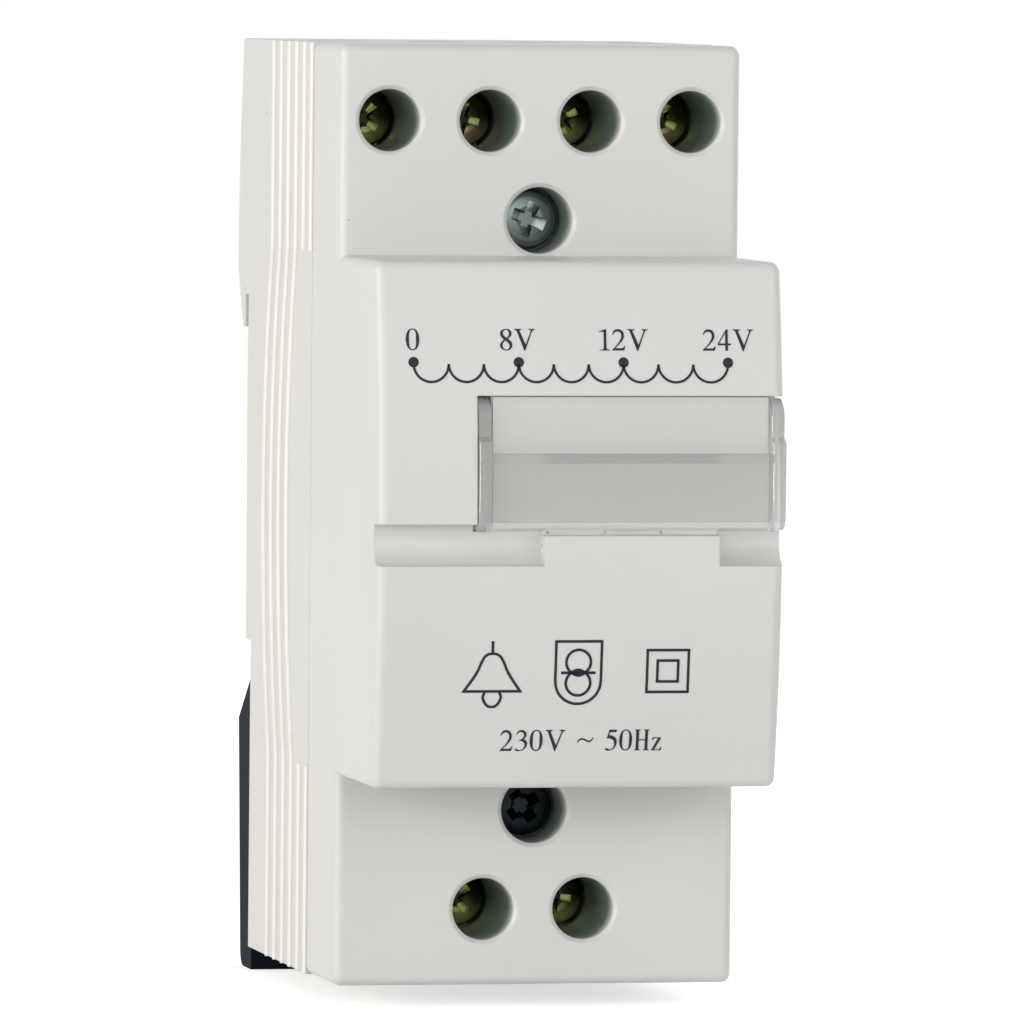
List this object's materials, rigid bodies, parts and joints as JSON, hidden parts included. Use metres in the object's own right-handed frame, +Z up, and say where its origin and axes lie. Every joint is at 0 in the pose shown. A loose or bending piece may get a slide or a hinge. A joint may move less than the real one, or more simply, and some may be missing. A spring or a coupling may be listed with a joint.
{
  "type": "doorbell transformer",
  "caption": "Rail-mounted doorbell transformer in a stepped off-white moulded case with recessed screw terminals, a hinged clear label flap and a sprung black rail clip.",
  "frame": {"origin": "middle of the rail seat: rail face, width centre, level with the middle of the nose and of the 35 mm rail", "axes": "+X to the right seen from the front, +Y back towards the rail, +Z up; the front faces -Y"},
  "size_m": [0.036, 0.0662, 0.0837],
  "materials": {
    "housing": "matte",
    "card": "matte",
    "clear_flap": "clear gloss",
    "clip": "satin",
    "spring_steel": "bright",
    "cover_screw": "zinc plated",
    "terminal_screw": "yellow passivated zinc",
    "terminal_cage": "zinc plated",
    "brass": "satin",
    "core_steel": "varnished laminations",
    "bobbin": "satin",
    "copper": "enamelled",
    "tape": "satin",
    "thermal_link": "satin",
    "lead_primary": "satin",
    "lead_secondary": "satin"
  },
  "bodies": {
    "housing": {"base_housing": "housing", "front_cover": "housing", "label_card": "card", "clip_spring": "spring_steel", "cover_screw_upper": "cover_screw", "cover_screw_lower": "cover_screw", "core_e_stack": "core_steel", "core_i_stack": "core_steel", "bobbin": "bobbin", "primary_winding": "copper", "secondary_winding": "copper", "primary_tape": "tape", "secondary_tape": "tape", "thermal_link": "thermal_link", "thermal_link_lead": "lead_primary", "primary_lead_live": "lead_primary", "primary_lead_neutral": "lead_primary", "terminal_bar_0v": "brass", "secondary_lead_0v": "lead_secondary", "terminal_bar_8v": "brass", "secondary_lead_8v": "lead_secondary", "terminal_bar_12v": "brass", "secondary_lead_12v": "lead_secondary", "terminal_bar_24v": "brass", "secondary_lead_24v": "lead_secondary", "terminal_bar_live": "brass", "terminal_bar_neutral": "brass"},
    "flap": {"label_flap": "clear_flap"},
    "clip": {"rail_clip": "clip"},
    "screw_0v": {"terminal_screw_0v": "terminal_screw"},
    "cage_0v": {"terminal_cage_0v": "terminal_cage"},
    "screw_8v": {"terminal_screw_8v": "terminal_screw"},
    "cage_8v": {"terminal_cage_8v": "terminal_cage"},
    "screw_12v": {"terminal_screw_12v": "terminal_screw"},
    "cage_12v": {"terminal_cage_12v": "terminal_cage"},
    "screw_24v": {"terminal_screw_24v": "terminal_screw"},
    "cage_24v": {"terminal_cage_24v": "terminal_cage"},
    "screw_live": {"terminal_screw_live": "terminal_screw"},
    "cage_live": {"terminal_cage_live": "terminal_cage"},
    "screw_neutral": {"terminal_screw_neutral": "terminal_screw"},
    "cage_neutral": {"terminal_cage_neutral": "terminal_cage"}
  },
  "joints": [
    {"name": "clip_slide", "type": "slide", "parent": "housing", "child": "clip", "axis": [0, 0, -1], "range_m": [0, 0.0035], "stiffness_N_per_m": 600, "springref_m": -0.004, "deforming": ["clip_spring"]},
    {"name": "flap_hinge", "type": "hinge", "parent": "housing", "child": "flap", "pos_m": [0.0042, -0.0588, 0.0092], "axis": [-1, 0, 0], "range_deg": [0, 90]},
    {"name": "screw_turn_0v", "type": "hinge", "parent": "housing", "child": "screw_0v", "pos_m": [-0.01331, -0.0333, 0.0342], "axis": [0, 1, 0], "range_deg": [0, 2170]},
    {"name": "cage_lift_0v", "type": "slide", "parent": "housing", "child": "cage_0v", "axis": [0, -1, 0], "range_m": [0, 0.0036]},
    {"name": "screw_turn_8v", "type": "hinge", "parent": "housing", "child": "screw_8v", "pos_m": [-0.00443, -0.0333, 0.0342], "axis": [0, 1, 0], "range_deg": [0, 2170]},
    {"name": "cage_lift_8v", "type": "slide", "parent": "housing", "child": "cage_8v", "axis": [0, -1, 0], "range_m": [0, 0.0036]},
    {"name": "screw_turn_12v", "type": "hinge", "parent": "housing", "child": "screw_12v", "pos_m": [0.00443, -0.0333, 0.0342], "axis": [0, 1, 0], "range_deg": [0, 2170]},
    {"name": "cage_lift_12v", "type": "slide", "parent": "housing", "child": "cage_12v", "axis": [0, -1, 0], "range_m": [0, 0.0036]},
    {"name": "screw_turn_24v", "type": "hinge", "parent": "housing", "child": "screw_24v", "pos_m": [0.01331, -0.0333, 0.0342], "axis": [0, 1, 0], "range_deg": [0, 2170]},
    {"name": "cage_lift_24v", "type": "slide", "parent": "housing", "child": "cage_24v", "axis": [0, -1, 0], "range_m": [0, 0.0036]},
    {"name": "screw_turn_live", "type": "hinge", "parent": "housing", "child": "screw_live", "pos_m": [-0.00443, -0.0333, -0.0342], "axis": [0, 1, 0], "range_deg": [0, 2170]},
    {"name": "cage_lift_live", "type": "slide", "parent": "housing", "child": "cage_live", "axis": [0, -1, 0], "range_m": [0, 0.0036]},
    {"name": "screw_turn_neutral", "type": "hinge", "parent": "housing", "child": "screw_neutral", "pos_m": [0.00443, -0.0333, -0.0342], "axis": [0, 1, 0], "range_deg": [0, 2170]},
    {"name": "cage_lift_neutral", "type": "slide", "parent": "housing", "child": "cage_neutral", "axis": [0, -1, 0], "range_m": [0, 0.0036]}
  ],
  "couplings": [
    {"joint": "screw_turn_0v", "follows": "cage_lift_0v", "rad_per_m": 10472},
    {"joint": "screw_turn_8v", "follows": "cage_lift_8v", "rad_per_m": 10472},
    {"joint": "screw_turn_12v", "follows": "cage_lift_12v", "rad_per_m": 10472},
    {"joint": "screw_turn_24v", "follows": "cage_lift_24v", "rad_per_m": 10472},
    {"joint": "screw_turn_live", "follows": "cage_lift_live", "rad_per_m": 10472},
    {"joint": "screw_turn_neutral", "follows": "cage_lift_neutral", "rad_per_m": 10472}
  ]
}
